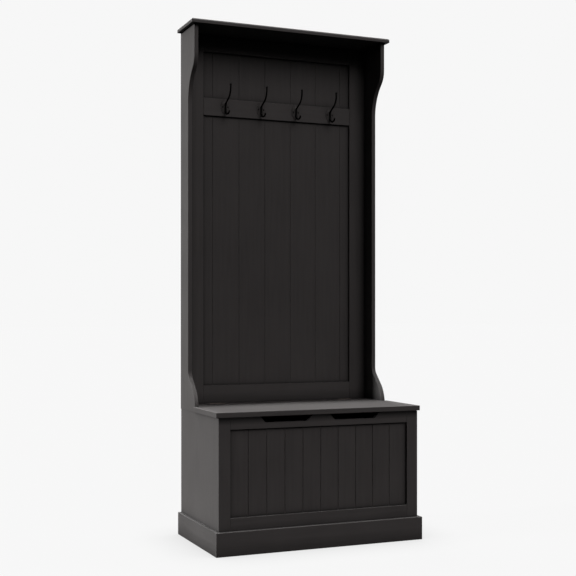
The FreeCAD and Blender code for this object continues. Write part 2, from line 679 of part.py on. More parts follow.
def stays():
    """Two slotted arms that hold the open lid, with their brackets, rivets and studs."""
    group("stay_brackets", [stay_bracket(side) for side in (LEFT, RIGHT)])
    rivets, studs = [], []
    for side in (LEFT, RIGHT):
        stay_arm(side)
        rivet = [(f"{ARM_START} - stay_play - stud_head", f"{ARM_START} - stay_play", "stud_head_radius"),
                 (f"{ARM_START} - stay_play", FLANGE_END, "stud_radius"),
                 (FLANGE_END, f"{FLANGE_END} + stud_head", "stud_head_radius")]
        rivets.append(headed_pin(f"rivet_{SIDE_NAMES[side]}", side, LID_PIVOT_DEPTH, LID_PIVOT_Z, rivet))
        stud = [("-stud_tail", "0", "stud_radius - 0.5"), ("0", "stay_spacer", "stud_head_radius"),
                ("stay_spacer", f"{ARM_END} + stay_play", "stud_radius"),
                (f"{ARM_END} + stay_play", f"{ARM_END} + stay_play + stud_head", "stud_head_radius")]
        studs.append(headed_pin(f"stud_{SIDE_NAMES[side]}", side, STUD_DEPTH, STUD_Z, stud))
        bore(nodes[f"chest_side_{SIDE_NAMES[side]}"], f"stud_hole_{SIDE_NAMES[side]}", from_side(side, "0"),
             STUD_DEPTH, STUD_Z, inboard(-side), "stud_radius - 0.4", "stud_tail + 0.5")
    group("stay_rivets", rivets)
    group("stay_studs", studs)


# ---------------------------------------------------------------- hutch

def hutch_side(side):
    """Tall side: deep wing under the cornice, long narrow waist, foot on the chest side."""
    name = f"hutch_side_{SIDE_NAMES[side]}"
    body = keep(name, doc.addObject("PartDesign::Body", name))
    corners = [("0", HUTCH_TOP), ("0", "chest_height"), ("foot_depth", "chest_height"),
               ("foot_depth", "foot_slope_bottom"), ("narrow_depth", "foot_slope_top"),
               ("narrow_depth", "wing_slope_bottom"), ("wing_depth", "wing_slope_top"),
               ("wing_depth", HUTCH_TOP)]
    points = [(y_at(depth), z) for depth, z in corners]
    start = mirrored(side, HUTCH_INNER, HUTCH_OUTER)[0]
    pad(body, name + "_board", outline(body, name + "_shape", "YZ_Plane", points, start), "side_thickness")
    rounds = (("foot_round", 3), ("foot_hollow", 4), ("wing_hollow", 5), ("wing_round", 6))
    for radius, index in rounds:
        depth, z = corners[index]
        y, height = value(y_at(depth)), value(z)
        ease(body, f"{name}_{radius}", radius,
             lambda edge: edge.BoundBox.YLength < 0.01 and edge.BoundBox.ZLength < 0.01
             and abs(edge.BoundBox.YMin - y) < 0.01 and abs(edge.BoundBox.ZMin - height) < 0.01)
    back, top, foot = value(y_at("0")), value(HUTCH_TOP), value("chest_height")

    def front_profile(edge):
        box = edge.BoundBox
        level = box.ZLength < 0.01 and (abs(box.ZMin - top) < 0.01 or abs(box.ZMin - foot) < 0.01)
        return box.XLength < 0.01 and not level and abs(box.YMax - back) > 0.01
    ease(body, name + "_ease", "ease_radius", front_profile)
    return body


def cornice():
    """Top board, overhanging the sides and the front, its upper edge well rounded."""
    outer = f"({HUTCH_OUTER} + cornice_side)"
    front = y_at("wing_depth + cornice_front")
    board_top = slab("cornice_board", (f"-{outer}", outer), ("0", "wing_depth + cornice_front"),
                     (HUTCH_TOP, "overall_height"))
    for name, radius, height in (("cornice_nose_round", "cornice_nose", "overall_height"),
                                 ("cornice_lip_round", "cornice_lip", HUTCH_TOP)):
        ease(board_top, name, radius,
             lambda edge: lies_on(edge, "z", height) and (lies_on(edge, "y", front)
                                                          or lies_on(edge, "x", outer)
                                                          or lies_on(edge, "x", f"-{outer}")))


def hook_rail():
    rail = slab("hook_rail", ("-back_stile_inner", "back_stile_inner"),
                (BACK_BOARD_FACE, BACK_FRAME_FACE), ("hook_rail_bottom", "hook_rail_top"))
    ease_face(rail, BACK_FRAME_FACE)


# ---------------------------------------------------------------- hooks
# Bent wires lie in a plane x = constant.  In its sketch, y of the row is across (the front is
# negative) and z is up; headings are degrees from +y towards +z.

HOOK_COUNT = 4
STEM_DEPTH = f"({BACK_FRAME_FACE} + stem_offset)"
UP, DOWN = 90, 270


def bent_path(body, name, x, start, heading, pieces):
    """Sketch of tangent lines and bends.

    A piece is ("line", length) or ("bend", radius, degrees, sense), sense 1 turning
    anticlockwise and -1 clockwise.
    """
    sketch = body.newObject("Sketcher::SketchObject", name)
    plane = [part for part in body.Origin.OriginFeatures if part.Role == "YZ_Plane"][0]
    sketch.AttachmentSupport = (plane, "")
    sketch.MapMode = "FlatFace"
    bind(sketch, ".AttachmentOffset.Base.z", x)
    point = FreeCAD.Vector(value(start[0]), value(start[1]), 0)
    angle = math.radians(heading)
    previous = None
    for index, piece in enumerate(pieces):
        ahead = FreeCAD.Vector(math.cos(angle), math.sin(angle), 0)
        if piece[0] == "line":
            after = point + ahead * value(piece[1])
            sketch.addGeometry(Part.LineSegment(point, after), False)
            begin, finish = 1, 2
            sizes = [("Distance", piece[1])]
        else:
            radius, turn, sense = value(piece[1]), math.radians(value(piece[2])), piece[3]
            left = FreeCAD.Vector(-ahead.y, ahead.x, 0)
            center = point + left * (radius * sense)
            from_angle = math.atan2(point.y - center.y, point.x - center.x)
            to_angle = from_angle + turn * sense
            circle = Part.Circle(center, FreeCAD.Vector(0, 0, 1), radius)
            first, last = sorted((from_angle, to_angle))
            sketch.addGeometry(Part.ArcOfCircle(circle, first, last), False)
            after = center + FreeCAD.Vector(math.cos(to_angle), math.sin(to_angle), 0) * radius
            begin, finish = (1, 2) if sense > 0 else (2, 1)
            angle += turn * sense
            sizes = [("Radius", piece[1]), ("Angle", piece[2])]
        if previous is None:
            sketch.addConstraint(Sketcher.Constraint("Vertical", index))
            for kind, text in (("DistanceX", start[0]), ("DistanceY", start[1])):
                place = sketch.addConstraint(Sketcher.Constraint(kind, -1, 1, index, begin, value(text)))
                bind(sketch, f"Constraints[{place}]", text)
        else:
            sketch.addConstraint(Sketcher.Constraint("Tangent", index - 1, previous, index, begin))
        for kind, text in sizes:
            number = math.radians(value(text)) if kind == "Angle" else value(text)
            place = sketch.addConstraint(Sketcher.Constraint(kind, index, number))
            bind(sketch, f"Constraints[{place}]", text)
        previous, point = finish, after
    return sketch, point


def wire(body, name, x, start, heading, pieces):
    """Round wire swept along a bent path; returns the y and z of its tip."""
    path, tip = bent_path(body, name + "_path", x, start, heading, pieces)
    section = body.newObject("Sketcher::SketchObject", name + "_section")
    plane = [part for part in body.Origin.OriginFeatures if part.Role == "XY_Plane"][0]
    section.AttachmentSupport = (plane, "")
    section.MapMode = "FlatFace"
    bind(section, ".AttachmentOffset.Base.z", start[1])
    center = FreeCAD.Vector(value(x), value(start[0]), 0)
    section.addGeometry(Part.Circle(center, FreeCAD.Vector(0, 0, 1), value("wire_radius")), False)
    for kind, text in (("DistanceX", x), ("DistanceY", start[0])):
        place = section.addConstraint(Sketcher.Constraint(kind, -1, 1, 0, 3, value(text)))
        bind(section, f"Constraints[{place}]", text)
    place = section.addConstraint(Sketcher.Constraint("Radius", 0, value("wire_radius")))
    bind(section, f"Constraints[{place}]", "wire_radius")
    pipe = body.newObject("PartDesign::AdditivePipe", name)
    pipe.Profile = section
    pipe.Spine = (path, [f"Edge{number}" for number in range(1, len(pieces) + 1)])
    return tip


def coat_hook(number):
    """Double coat hook: domed oval plate, long upper arm with a ball, short turned-up toe."""
    name = f"coat_hook_{number}"
    x = f"(({number} - {(HOOK_COUNT + 1) / 2}) * hook_pitch)"
    level = "hook_plate_height"
    body = keep(name, doc.addObject("PartDesign::Body", name))
    dome = body.newObject("PartDesign::AdditiveEllipsoid", name + "_plate")
    bind(dome, "Radius1", "plate_length / 2")
    bind(dome, "Radius2", "plate_width / 2")
    bind(dome, "Radius3", "plate_thickness")
    put(dome, x, BACK_FRAME_FACE, level)
    notch(body, name + "_flat_back", (f"{x} - plate_width", f"{x} + plate_width"),
          (f"{BACK_FRAME_FACE} - 2 * plate_thickness", BACK_FRAME_FACE),
          (f"{level} - plate_length", f"{level} + plate_length"))
    neck = body.newObject("PartDesign::AdditiveBox", name + "_neck")
    fill_box(neck, (f"{x} - wire_radius", f"{x} + wire_radius"), (BACK_FRAME_FACE, STEM_DEPTH),
             (f"{level} + stem_bottom", f"{level} + stem_top"))
    stem = "stem_top - stem_bottom"
    arm = [("line", stem), ("bend", "neck_bend", "arm_turn", 1), ("line", "arm_run"),
           ("bend", "arm_bend", "arm_turn", -1), ("line", "arm_tip")]
    toe = [("line", stem), ("bend", "toe_bend", "90", -1), ("line", "toe_run"),
           ("bend", "toe_curl", "toe_turn", -1)]
    y = y_at(STEM_DEPTH)
    tip = wire(body, name + "_arm", x, (y, f"{level} + stem_bottom"), UP, arm)
    wire(body, name + "_toe", x, (y, f"{level} + stem_top"), DOWN, toe)
    ball = body.newObject("PartDesign::AdditiveSphere", name + "_ball")
    bind(ball, "Radius", "ball_radius")
    arm_reach = ("neck_bend * (1 - cos(arm_turn * 1 deg)) + arm_run * sin(arm_turn * 1 deg)"
                 " + arm_bend * (1 - cos(arm_turn * 1 deg))")
    arm_rise = ("stem_top + neck_bend * sin(arm_turn * 1 deg) + arm_run * cos(arm_turn * 1 deg)"
                " + arm_bend * sin(arm_turn * 1 deg) + arm_tip")
    put(ball, x, f"{STEM_DEPTH} + {arm_reach}", f"{level} + {arm_rise}")
    if abs(value(y_at(f"{STEM_DEPTH} + {arm_reach}")) - tip.x) > 0.01:
        raise RuntimeError("the ball is not at the tip of the arm")
    for spot in (-1, 1):
        bore(body, f"{name}_screw_seat_{spot + 2}", f"{x} + {spot} * hook_screw_offset",
             f"{BACK_FRAME_FACE} + 2 * plate_thickness", level, "+y", "screw_head_radius + screw_play",
             "2 * plate_thickness - hook_screw_seat")
        bore(body, f"{name}_screw_hole_{spot + 2}", f"{x} + {spot} * hook_screw_offset",
             f"{BACK_FRAME_FACE} + 2 * plate_thickness", level, "+y", "screw_radius + screw_play",
             "3 * plate_thickness")


def coat_hooks():
    """The hooks, their screws, and the pilot holes in the rail and the boards behind it."""
    screws = []
    seat = f"({BACK_FRAME_FACE} + hook_screw_seat)"
    for number in range(1, HOOK_COUNT + 1):
        coat_hook(number)
        backing = nodes[f"back_board_{number + (1 if number <= HOOK_COUNT / 2 else 2):02d}"]
        for spot in (-1, 1):
            name = f"hook_screw_{number}_{spot + 2}"
            x = f"({number} - {(HOOK_COUNT + 1) / 2}) * hook_pitch + {spot} * hook_screw_offset"
            head = solid("Cylinder", name + "_head", Radius="screw_head_radius", Height="hook_screw_head")
            put(head, x, f"{seat} + hook_screw_head", "hook_plate_height", "+y")
            shank = solid("Cylinder", name + "_shank", Radius="screw_radius", Height="hook_screw_length")
            put(shank, x, seat, "hook_plate_height", "+y")
            screws.append(joined(name, [head, shank]))
            for body, start in ((nodes["hook_rail"], BACK_FRAME_FACE), (backing, BACK_BOARD_FACE)):
                bore(body, f"{body.Name}_pilot_{number}_{spot + 2}", x, f"{start} + 1", "hook_plate_height",
                     "+y", "screw_radius + screw_play", f"{start} + 1.5 - {seat} + hook_screw_length")
    group("hook_screws", screws)


# ---------------------------------------------------------------- dowels

def dowel(name, x, depth, z, toward, into):
    """Glued wood dowel through a joint at the point, and its blind hole in each of the two
    pieces.  into = (piece behind, piece ahead, length that lies in the piece behind)."""
    behind, ahead, back = into

    def start(reach):
        return {"+x": (f"{x} - ({reach})", depth, z), "-y": (x, f"{depth} - ({reach})", z),
                "+z": (x, depth, f"{z} - ({reach})")}[toward]
    peg = solid("Cylinder", name, Radius="dowel_radius", Height="dowel_length")
    put(peg, *start(back), toward)
    for body in (behind, ahead):
        hole = body.newObject("PartDesign::SubtractiveCylinder", f"{name}_in_{body.Name}")
        bind(hole, "Radius", "dowel_radius + dowel_play")
        bind(hole, "Height", "dowel_length + 0.6")
        put(hole, *start(f"{back} + 0.3"), toward)
    return peg


def frame_dowels(side):
    """Two dowels in each joint of a rail with a stile, in both panel frames."""
    word = SIDE_NAMES[side]
    front_middle = f"({FRAME_BACK} + frame_thickness / 2)"
    back_middle = "(back_inset + frame_thickness / 2)"
    joints = [("front", STILE_INNER, front_middle, "bottom_rail", (52, 96)),
              ("front", STILE_INNER, front_middle, "top_rail", (433, 448)),
              ("back", "back_stile_inner", back_middle, "bottom_rail", (490, 522)),
              ("back", "back_stile_inner", back_middle, "top_rail", (1793, 1820))]
    pegs = []
    for place, edge, depth, rail, heights in joints:
        into = (nodes[f"{place}_stile_{word}"], nodes[f"{place}_{rail}"], "dowel_length / 2")
        for z in heights:
            pegs.append(dowel(f"dowel_{place}_{rail}_{word}_{z}", f"{side} * {edge}", depth, str(z),
                              "+x", into))
    return pegs


def side_dowels(side):
    """Dowels of a chest side with its front stile and its hutch side, and of that with the cornice."""
    word = SIDE_NAMES[side]
    chest_side, hutch = nodes[f"chest_side_{word}"], nodes[f"hutch_side_{word}"]
    chest_x = f"{side} * (carcass_width / 2 - side_thickness / 2)"
    hutch_x = f"{side} * (hutch_width / 2 - side_thickness / 2)"
    to_stile = (chest_side, nodes[f"front_stile_{word}"], "dowel_length - dowel_in_stile")
    to_hutch = (chest_side, hutch, "dowel_length / 2")
    to_cornice = (hutch, nodes["cornice_board"], "dowel_length - dowel_in_cornice")
    pegs = [dowel(f"dowel_stile_{word}_{z}", chest_x, FRAME_BACK, str(z), "-y", to_stile)
            for z in (150, 290, 430)]
    for depth in (40, 120):
        pegs.append(dowel(f"dowel_foot_{word}_{depth}", chest_x, str(depth), "chest_height", "+z",
                          to_hutch))
        pegs.append(dowel(f"dowel_top_{word}_{depth}", hutch_x, str(depth), HUTCH_TOP, "+z",
                          to_cornice))
    return pegs


def dowels():
    """All the dowels of the carcass, one size throughout."""
    pegs = []
    for side in (LEFT, RIGHT):
        pegs += frame_dowels(side) + side_dowels(side)
    group("dowels", pegs)


# ---------------------------------------------------------------- build and write

def build():
    chest_sides()
    chest_inside()
    front_frame()
    front_boards()
    plinth()
    for side in (LEFT, RIGHT):
        hutch_side(side)
    back_frame()
    back_boards()
    hook_rail()
    cornice()
    seat_rear_rail()
    seat_lid()
    lid_bumpers()
    hinges()
    group("hinge_screws_fixed", leaf_screws(-1))
    bracket_screws = []
    for side in (LEFT, RIGHT):
        for spot in (-1, 1):
            x, depth = bracket_screw(side, spot)
            bracket_screws.append(screw(f"bracket_screw_{SIDE_NAMES[side]}_{spot + 2}", x, depth,
                                        f"{LID_UNDERSIDE} - bracket_thickness", "+z"))
    group("lid_screws", leaf_screws(1) + bracket_screws)
    stays()
    coat_hooks()
    dowels()
    doc.recompute()


def check_and_write():
    """Stop on any failed object or bad shape, then write one STEP file per node."""
    failed = [thing.Name for thing in doc.Objects
              if "Invalid" in thing.State or "Error" in thing.State]
    if failed:
        raise RuntimeError("failed objects: " + ", ".join(failed))
    for node, thing in nodes.items():
        if thing.Shape.isNull() or not thing.Shape.isValid():
            raise RuntimeError("bad shape: " + node)
    os.makedirs("parts", exist_ok=True)
    for node, thing in nodes.items():
        thing.Shape.exportStep(f"parts/{node}.step")
        solids = len(thing.Shape.Solids)
        print(f"{node}: {solids} solid(s), {thing.Shape.Volume / 1000:.1f} cm3")
    print(len(nodes), "nodes")


build()
check_and_write()
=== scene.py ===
"""Looks of the hall tree: painted boards, iron hooks, bronzed hinges, studio floor and light."""

import json
import math

import bmesh
import bpy
from mathutils import Matrix, Vector

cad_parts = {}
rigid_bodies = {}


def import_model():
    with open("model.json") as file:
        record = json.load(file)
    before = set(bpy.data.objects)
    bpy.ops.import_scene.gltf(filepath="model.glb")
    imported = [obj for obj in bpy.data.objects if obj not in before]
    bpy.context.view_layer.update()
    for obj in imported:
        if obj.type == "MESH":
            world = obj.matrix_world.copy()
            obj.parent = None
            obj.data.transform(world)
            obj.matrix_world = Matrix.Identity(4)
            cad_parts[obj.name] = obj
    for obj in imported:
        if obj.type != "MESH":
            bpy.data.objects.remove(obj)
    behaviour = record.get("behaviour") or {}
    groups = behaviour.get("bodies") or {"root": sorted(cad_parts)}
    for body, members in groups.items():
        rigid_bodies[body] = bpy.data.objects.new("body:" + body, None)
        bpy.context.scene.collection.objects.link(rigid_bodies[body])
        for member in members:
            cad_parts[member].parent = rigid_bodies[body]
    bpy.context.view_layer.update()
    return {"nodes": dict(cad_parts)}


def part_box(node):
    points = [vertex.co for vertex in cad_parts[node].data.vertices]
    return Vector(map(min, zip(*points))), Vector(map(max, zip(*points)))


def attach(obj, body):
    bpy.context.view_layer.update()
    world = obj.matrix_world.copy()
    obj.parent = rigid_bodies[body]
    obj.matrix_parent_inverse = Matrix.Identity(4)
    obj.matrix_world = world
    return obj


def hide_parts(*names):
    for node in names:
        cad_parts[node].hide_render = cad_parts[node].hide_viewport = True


for leftover in list(bpy.data.objects):
    bpy.data.objects.remove(leftover)

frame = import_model()
NODES = frame["nodes"]
MM = 0.001


# ------------------------------------------------------------ camera

CAMERA_PLACE = (-1.5816, -3.6518, 0.8092)
CAMERA_TURN = -22.86
LENS, SENSOR, LENS_SHIFT = 68.66, 36.0, 0.0437


def camera():
    """A little above the seat, in front and to the left, with a long lens held level."""
    data = bpy.data.cameras.new("view")
    data.lens = LENS
    data.sensor_width = SENSOR
    data.shift_y = LENS_SHIFT
    data.clip_end = 200.0
    holder = bpy.data.objects.new("view", data)
    holder.location = CAMERA_PLACE
    holder.rotation_euler = (math.radians(90.0), 0.0, math.radians(CAMERA_TURN))
    bpy.context.scene.collection.objects.link(holder)
    bpy.context.scene.camera = holder


# ------------------------------------------------------------ shader helpers

class Shader:
    """A material or world under construction: adds nodes and links them."""

    def __init__(self, name, owner=None):
        self.owner = owner or bpy.data.materials.new(name)
        self.owner.use_nodes = True
        self.tree = self.owner.node_tree
        self.tree.nodes.clear()

    def add(self, kind, inputs=(), **settings):
        node = self.tree.nodes.new(kind)
        for key, setting in settings.items():
            setattr(node, key, setting)
        for key, value in dict(inputs).items():
            self.feed(node.inputs[key], value)
        return node

    def feed(self, socket, value):
        if isinstance(value, bpy.types.NodeSocket):
            self.tree.links.new(value, socket)
        else:
            socket.default_value = value

    def math(self, operation, a, b=0.0):
        return self.add("ShaderNodeMath", {0: a, 1: b}, operation=operation).outputs[0]

    def total(self, *parts):
        """Sum of (value, share) pairs."""
        shares = [self.math("MULTIPLY", value, share) for value, share in parts]
        result = shares[0]
        for share in shares[1:]:
            result = self.math("ADD", result, share)
        return result

    def place(self, scale=(1, 1, 1)):
        """Position in the part's own frame, in metres, stretched by a scale."""
        where = self.add("ShaderNodeTexCoord").outputs["Object"]
        return self.add("ShaderNodeMapping", {"Vector": where, "Scale": scale}).outputs[0]

    def noise(self, vector, scale, detail=3.0, rough=0.5):
        node = self.add("ShaderNodeTexNoise", {"Vector": vector, "Scale": scale, "Detail": detail,
                                               "Roughness": rough})
        return node.outputs["Fac"]

    def ramp(self, value, low, high, to_low=0.0, to_high=1.0):
        node = self.add("ShaderNodeMapRange", {"Value": value, "From Min": low, "From Max": high,
                                               "To Min": to_low, "To Max": to_high})
        return node.outputs[0]

    def mix(self, factor, a, b, blend="MIX"):
        node = self.add("ShaderNodeMix", data_type="RGBA", blend_type=blend)
        for index, value in ((0, factor), (6, a), (7, b)):
            self.feed(node.inputs[index], value)
        return node.outputs[2]

    def crease(self, reach):
        """1 on open surfaces, falling towards 0 where surfaces meet within the reach."""
        node = self.add("ShaderNodeAmbientOcclusion", {"Distance": reach})
        node.samples = 8
        return node.outputs["AO"]

    def edge(self, radius):
        """0 on flat surfaces, up to 1 on outer and inner edges, through the rounded normal."""
        rounded = self.add("ShaderNodeBevel", {"Radius": radius})
        rounded.samples = 4
        plain = self.add("ShaderNodeNewGeometry").outputs["Normal"]
        turn = self.add("ShaderNodeVectorMath", {0: rounded.outputs[0], 1: plain},
                        operation="DOT_PRODUCT").outputs["Value"]
        return self.ramp(turn, 0.995, 0.80)

    def squareness(self):
        """1 on faces that lie square to the part's axes, 0 on bevels and curves."""
        normal = self.add("ShaderNodeTexCoord").outputs["Normal"]
        parts = self.add("ShaderNodeSeparateXYZ", {0: normal}).outputs
        sizes = [self.math("ABSOLUTE", part) for part in parts]
        largest = self.math("MAXIMUM", self.math("MAXIMUM", sizes[0], sizes[1]), sizes[2])
        return self.ramp(largest, 0.90, 0.97)

    def tint(self):
        """A number from 0 to 1 that is the same all over one piece and differs between pieces."""
        return self.add("ShaderNodeObjectInfo").outputs["Random"]

    def bump(self, height, distance, strength=1.0):
        return self.add("ShaderNodeBump", {"Height": height, "Strength": strength,
                                           "Distance": distance}).outputs[0]

    def finish(self, inputs):
        surface = self.add("ShaderNodeBsdfPrincipled", inputs).outputs[0]
        self.add("ShaderNodeOutputMaterial", {"Surface": surface})
        return self.owner


def gray(level, red=1.0, blue=1.0):
    return (level * red, level, level * blue, 1.0)


# ------------------------------------------------------------ materials

PAINT_HUE = (1.06, 0.985)
PAINT_LEVELS = 0.0490, 0.0565, 0.063
# How far painted shade reaches out of corners and creases.
CREASE_REACH = 45 * MM
# Painted shade near the floor: the height it reaches and how dark the paint gets at the floor.
FLOOR_SHADE_HEIGHT, FLOOR_SHADE_TONE = 45 * MM, 0.55
LEDGE_SHADE = 25 * MM, 4 * MM


def stretched(along, amount):
    """Scale that draws a texture out along one axis (0, 1 or 2)."""
    scale = [1.0, 1.0, 1.0]
    scale[along] = amount
    return tuple(scale)


def paint(name, along, tone=1.0, settle=1.3, ledge=None):
    """Satin charcoal paint, brushed along the length of a board.

    tone darkens the whole paint as painted shade, for pieces that stand in the hutch's shade; settle sets how
    strongly painted shade darkens corners and creases; and ledge is the height of a ledge that keeps the
    light off the front faces below it.
    """
    shader = Shader(name)
    brushed = shader.place(stretched(along, 0.05))
    planed = shader.place(stretched(along, 0.25))
    plain = shader.place()
    bristles = shader.noise(brushed, 520.0, 3.0, 0.6)
    strokes = shader.noise(brushed, 90.0, 2.0, 0.5)
    stipple = shader.noise(plain, 900.0, 2.0, 0.5)
    waves = shader.noise(planed, 14.0, 2.0, 0.5)
    cloud = shader.noise(plain, 7.0, 3.0, 0.5)

    dark, light, stroke = (gray(level * tone, *PAINT_HUE) for level in PAINT_LEVELS)
    coat = shader.mix(shader.ramp(cloud, 0.3, 0.7), dark, light)
    coat = shader.mix(shader.tint(), coat, shader.mix(1.0, coat, gray(0.94), "MULTIPLY"))
    coat = shader.mix(shader.ramp(strokes, 0.35, 0.65, 0.0, 0.40), coat, stroke)
    chipped = shader.ramp(shader.noise(plain, 60.0, 4.0, 0.6), 0.52, 0.66)
    nick = shader.math("MULTIPLY", shader.edge(1.4 * MM), chipped)
    coat = shader.mix(shader.math("MULTIPLY", nick, 0.35), coat, gray(0.12, 1.10, 0.93))

    # Painted shade: darker in corners and creases, on faces square to the piece only.
    settled = shader.math("POWER", shader.crease(CREASE_REACH), settle)
    settled = shader.math("MAXIMUM", settled, shader.ramp(shader.squareness(), 0.0, 1.0, 1.0, 0.0))
    above_floor = shader.add("ShaderNodeSeparateXYZ", {0: plain}).outputs[2]
    # Painted shade, darker towards the floor.
    settled = shader.math("MULTIPLY", settled, shader.ramp(above_floor, 0.0, FLOOR_SHADE_HEIGHT, FLOOR_SHADE_TONE, 1.0))
    if ledge:
        normal = shader.add("ShaderNodeTexCoord").outputs["Normal"]
        facing = shader.add("ShaderNodeSeparateXYZ", {0: normal}).outputs[1]
        shade = shader.ramp(above_floor, ledge - LEDGE_SHADE[0], ledge - LEDGE_SHADE[1])
        shade = shader.math("MULTIPLY", shade, shader.ramp(facing, -0.5, -0.9))
        settled = shader.math("MULTIPLY", settled, shader.math("SUBTRACT", 1.0, shade))
    coat = shader.mix(settled, gray(0.0), coat)

    height = shader.total((bristles, 0.30), (strokes, 0.35), (stipple, 0.15), (waves, 0.9))
    rough = shader.math("ADD", shader.ramp(bristles, 0.3, 0.7, 0.54, 0.62),
                        shader.ramp(cloud, 0.3, 0.7, -0.02, 0.03))
    return shader.finish({"Base Color": coat, "Roughness": rough,
                          "Normal": shader.bump(height, 0.35 * MM, 0.7), "Specular IOR Level": 0.22})


def pine():
    """Unpainted softwood of cleats and dowels, with rings drawn out along the piece."""
    shader = Shader("bare_pine")
    drawn = shader.place((0.06, 1.0, 1.0))
    rings = shader.noise(drawn, 120.0, 3.0, 0.55)
    fiber = shader.noise(drawn, 900.0, 2.0, 0.6)
    wood = shader.mix(shader.ramp(rings, 0.35, 0.65), (0.52, 0.34, 0.18, 1), (0.36, 0.20, 0.09, 1))
    wood = shader.mix(shader.ramp(fiber, 0.4, 0.7, 0.0, 0.4), wood, (0.62, 0.45, 0.27, 1))
    return shader.finish({"Base Color": wood, "Roughness": shader.ramp(fiber, 0.3, 0.7, 0.55, 0.75),
                          "Normal": shader.bump(fiber, 0.15 * MM, 0.5), "Specular IOR Level": 0.3})


def metal(name, fresh, worn, rough, metallic, bump=0.05, plate=None, specular=0.5):
    """Metal with a finish that is rubbed through on its edges.

    plate is a y and a color: whatever lies behind that y has the color instead.
    """
    shader = Shader(name)
    plain = shader.place()
    grain = shader.noise(plain, 1400.0, 3.0, 0.6)
    cloud = shader.noise(plain, 160.0, 3.0, 0.5)
    rubbed = shader.math("MULTIPLY", shader.edge(0.8 * MM), shader.ramp(cloud, 0.42, 0.62))
    if plate:
        behind = shader.add("ShaderNodeSeparateXYZ", {0: plain}).outputs[1]
        fresh = shader.mix(shader.math("GREATER_THAN", behind, plate[0]), fresh, plate[1])
    color = shader.mix(rubbed, fresh, worn)
    return shader.finish({"Base Color": color, "Metallic": metallic,
                          "Roughness": shader.ramp(cloud, 0.3, 0.7, rough - 0.06, rough + 0.08),
                          "Normal": shader.bump(grain, bump * MM, 0.5), "Specular IOR Level": specular})


def wool_felt():
    """Gray felt of the lid's bumper discs."""
    shader = Shader("gray_felt")
    plain = shader.place()
    fuzz = shader.noise(plain, 1500.0, 4.0, 0.7)
    color = shader.mix(shader.ramp(fuzz, 0.3, 0.7), gray(0.10), gray(0.20))
    return shader.finish({"Base Color": color, "Roughness": shader.ramp(fuzz, 0.3, 0.7, 0.85, 0.98),
                          "Normal": shader.bump(fuzz, 0.3 * MM, 0.8), "Sheen Weight": 0.3,
                          "Specular IOR Level": 0.1})


# The hook plates' lighter colour is painted sheen: it stands in for the satin reflection of the flat plate on
# the black iron.
PLATE_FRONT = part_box("coat_hook_1")[1].y - 3.2 * MM
IRON = metal("black_iron", gray(0.0025), gray(0.012, 1.1, 0.9), 0.40, 0.0, bump=0.03,
             plate=(PLATE_FRONT, gray(0.050, 1.05, 0.98)), specular=0.10)
IRON_SCREW = metal("iron_screw", gray(0.0025), gray(0.02), 0.40, 0.0, bump=0.02, specular=0.10)
BRONZE = metal("dark_bronze", (0.060, 0.052, 0.046, 1), (0.30, 0.25, 0.20, 1), 0.38, 0.8)
ZINC = metal("zinc_plate", (0.42, 0.43, 0.45, 1), (0.60, 0.60, 0.62, 1), 0.34, 1.0)
PINE = pine()
FELT = wool_felt()


# ------------------------------------------------------------ dressing the CAD nodes

SPECIAL = {
    "floor_cleats": PINE, "dowels": PINE, "lid_bumpers": FELT,
    "hinge_leaves_fixed": BRONZE, "hinge_leaves_lid": BRONZE, "hinge_pins": BRONZE,
    "hinge_screws_fixed": BRONZE, "lid_screws": ZINC,
    "stay_arm_left": ZINC, "stay_arm_right": ZINC, "stay_brackets": ZINC,
    "stay_rivets": ZINC, "stay_studs": ZINC,
}


def long_axis(node):
    """Number of the axis along which the node is longest."""
    low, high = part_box(node)
    size = high - low
    return max(range(3), key=lambda axis: size[axis])


def dress(node, material):
    slots = NODES[node].data.materials
    slots.clear()
    slots.append(material)


def paint_set(name, **kind):
    """The same paint brushed along x, y and z."""
    return [paint(f"{name}_{axis}", number, **kind) for number, axis in enumerate("xyz")]


PLAIN = paint_set("paint")
FRONT_BOARDS = paint_set("paint_boards", settle=2.2)
# Darker copies of one paint for the hutch's back boards, frame and hook rail: painted shade for the shade
# inside the hutch.
BACK_BOARDS = paint_set("paint_back_boards_shaded", tone=0.80, settle=2.0)
BACK_FRAME = paint_set("paint_back_frame_shaded", tone=0.84)
HOOK_RAIL = paint_set("paint_hook_rail_shaded", tone=0.93)
UNDER_LID = paint_set("paint_under_lid", ledge=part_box("front_top_rail")[1].z)
KINDS = (("front_board_", FRONT_BOARDS), ("front_top_rail", UNDER_LID), ("front_stile_", UNDER_LID),
         ("back_board_", BACK_BOARDS), ("back_", BACK_FRAME), ("hook_rail", HOOK_RAIL))

for node in NODES:
    kind = next((paints for start, paints in KINDS if node.startswith(start)), PLAIN)
    dress(node, SPECIAL.get(node) or kind[long_axis(node)])


# ------------------------------------------------------------ mesh helpers

def new_piece(name, shape, material, smooth=True):
    """Object from a finished bmesh, in the part's frame."""
    mesh = bpy.data.meshes.new(name)
    bmesh.ops.recalc_face_normals(shape, faces=shape.faces)
    shape.to_mesh(mesh)
    shape.free()
    mesh.materials.append(material)
    for face in mesh.polygons:
        face.use_smooth = smooth
    piece = bpy.data.objects.new(name, mesh)
    bpy.context.scene.collection.objects.link(piece)
    return piece


